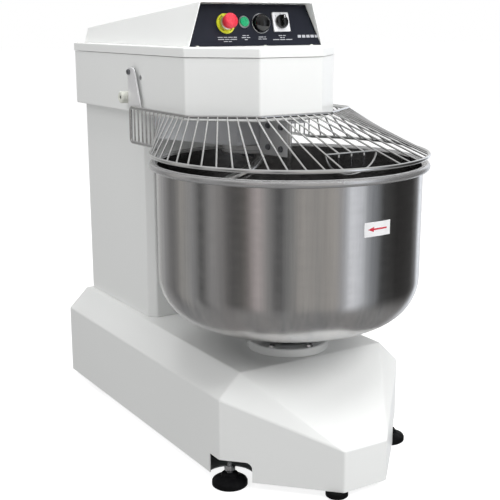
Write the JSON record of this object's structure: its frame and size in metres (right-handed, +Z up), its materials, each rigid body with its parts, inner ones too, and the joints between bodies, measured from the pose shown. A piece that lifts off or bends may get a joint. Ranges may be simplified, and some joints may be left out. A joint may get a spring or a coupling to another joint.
{
  "type": "spiral dough mixer",
  "caption": "Floor-standing commercial spiral dough mixer: enamelled base, column and fixed head, steel bowl, spiral hook, breaker bar, wire guard and control panel.",
  "frame": {"origin": "middle of the overall footprint, on the floor", "axes": "+Z up, front of the machine towards -Y, +X to the right seen from the front"},
  "size_m": [0.583, 0.9779, 0.9623],
  "materials": {
    "white_enamel": "smooth white stove enamel on folded steel sheet",
    "stainless": "satin stainless steel",
    "polished_steel": "bright polished stainless steel",
    "zinc_steel": "zinc-plated steel",
    "dark_steel": "black-painted steel",
    "aluminium": "machined aluminium",
    "panel_navy": "matt blue-black printed overlay on steel",
    "black_rubber": "moulded black rubber",
    "wheel_rubber": "solid black rubber wheel",
    "black_plastic": "glossy black plastic",
    "white_plastic": "white nylon",
    "red_plastic": "red plastic",
    "green_plastic": "green plastic",
    "yellow_plastic": "yellow plastic",
    "blue_motor": "blue-painted cast motor body"
  },
  "bodies": {
    "machine": {"base_casing": "white_enamel", "floor_plate": "dark_steel", "base_chassis": "dark_steel", "nose_foot": "black_rubber", "rear_left_wheel_fork": "zinc_steel", "rear_right_wheel_fork": "zinc_steel", "column_casing": "white_enamel", "rear_cover": "white_enamel", "head_casing": "white_enamel", "head_lid": "white_enamel", "control_hood": "white_enamel", "control_panel": "panel_navy", "estop_ring": "yellow_plastic", "start_bezel": "aluminium", "jog_bezel": "polished_steel", "switch_plate": "aluminium", "bowl_collar": "white_enamel", "bowl_bearing": "zinc_steel", "bowl_belt": "black_rubber", "bowl_gearmotor": "blue_motor", "spiral_bearing_housing": "dark_steel", "spiral_bearing": "zinc_steel", "spiral_belt": "black_rubber", "spiral_motor": "blue_motor", "underhead_cover": "stainless", "breaker_bar": "stainless", "breaker_bracket": "stainless", "breaker_bolt_1": "zinc_steel", "breaker_bolt_2": "zinc_steel", "breaker_bolt_3": "zinc_steel", "breaker_bolt_4": "zinc_steel", "guard_left_pivot": "zinc_steel", "guard_right_pivot": "zinc_steel", "guard_left_stop": "white_plastic", "guard_right_stop": "white_plastic"},
    "guard": {"guard_grid": "polished_steel", "guard_feed_hoop": "polished_steel", "guard_left_bracket": "stainless", "guard_right_bracket": "stainless"},
    "bowl_unit": {"bowl": "stainless", "bowl_plate": "stainless", "bowl_hub": "dark_steel", "bowl_pulley": "aluminium"},
    "spiral_unit": {"spiral_hook": "polished_steel", "spiral_shaft": "zinc_steel", "spiral_pulley": "aluminium"},
    "spiral_motor_rotor": {"spiral_motor_pulley": "aluminium"},
    "bowl_motor_rotor": {"bowl_motor_pulley": "aluminium"},
    "estop": {"estop_button": "red_plastic"},
    "start": {"start_button": "green_plastic"},
    "jog": {"jog_button": "black_plastic"},
    "selector": {"switch_knob": "black_plastic"},
    "left_wheel": {"rear_left_wheel": "wheel_rubber"},
    "right_wheel": {"rear_right_wheel": "wheel_rubber"},
    "left_foot": {"levelling_left_pad": "black_rubber", "levelling_left_spindle": "zinc_steel", "levelling_left_nut": "zinc_steel"},
    "right_foot": {"levelling_right_pad": "black_rubber", "levelling_right_spindle": "zinc_steel", "levelling_right_nut": "zinc_steel"}
  },
  "joints": [
    {"name": "guard_hinge", "type": "hinge", "parent": "machine", "child": "guard", "pos_m": [0, 0.1426, 0.812], "axis": [-1, 0, 0], "range_deg": [0, 95]},
    {"name": "bowl_spin", "type": "hinge", "parent": "machine", "child": "bowl_unit", "pos_m": [0, -0.1974, 0.303], "axis": [0, 0, -1], "continuous": true},
    {"name": "spiral_spin", "type": "hinge", "parent": "machine", "child": "spiral_unit", "pos_m": [0, -0.0314, 0.66], "axis": [0, 0, -1], "continuous": true},
    {"name": "bowl_motor_spin", "type": "hinge", "parent": "machine", "child": "bowl_motor_rotor", "pos_m": [0, 0.2146, 0.12], "axis": [0, 0, -1], "continuous": true},
    {"name": "spiral_motor_spin", "type": "hinge", "parent": "machine", "child": "spiral_motor_rotor", "pos_m": [0, 0.3426, 0.78], "axis": [0, 0, -1], "continuous": true},
    {"name": "estop_press", "type": "slide", "parent": "machine", "child": "estop", "axis": [0, 0.9607, -0.2776], "range_m": [0, 0.004]},
    {"name": "start_press", "type": "slide", "parent": "machine", "child": "start", "axis": [0, 0.9607, -0.2776], "range_m": [0, 0.003], "stiffness_N_per_m": 500, "springref_m": -0.003},
    {"name": "jog_press", "type": "slide", "parent": "machine", "child": "jog", "axis": [0, 0.9607, -0.2776], "range_m": [0, 0.003], "stiffness_N_per_m": 500, "springref_m": -0.003},
    {"name": "selector_turn", "type": "hinge", "parent": "machine", "child": "selector", "pos_m": [0.0665, -0.06141, 0.91945], "axis": [0, -0.9607, 0.2776], "range_deg": [-45, 45]},
    {"name": "left_wheel_spin", "type": "hinge", "parent": "machine", "child": "left_wheel", "pos_m": [-0.196, 0.3476, 0.04], "axis": [1, 0, 0], "continuous": true},
    {"name": "right_wheel_spin", "type": "hinge", "parent": "machine", "child": "right_wheel", "pos_m": [0.196, 0.3476, 0.04], "axis": [1, 0, 0], "continuous": true},
    {"name": "left_foot_adjust", "type": "slide", "parent": "machine", "child": "left_foot", "axis": [0, 0, 1], "range_m": [-0.01, 0.003]},
    {"name": "right_foot_adjust", "type": "slide", "parent": "machine", "child": "right_foot", "axis": [0, 0, 1], "range_m": [-0.01, 0.003]}
  ],
  "couplings": [
    {"joint": "bowl_motor_spin", "follows": "bowl_spin", "ratio": 2.7632},
    {"joint": "spiral_motor_spin", "follows": "spiral_spin", "ratio": 2.9762}
  ]
}
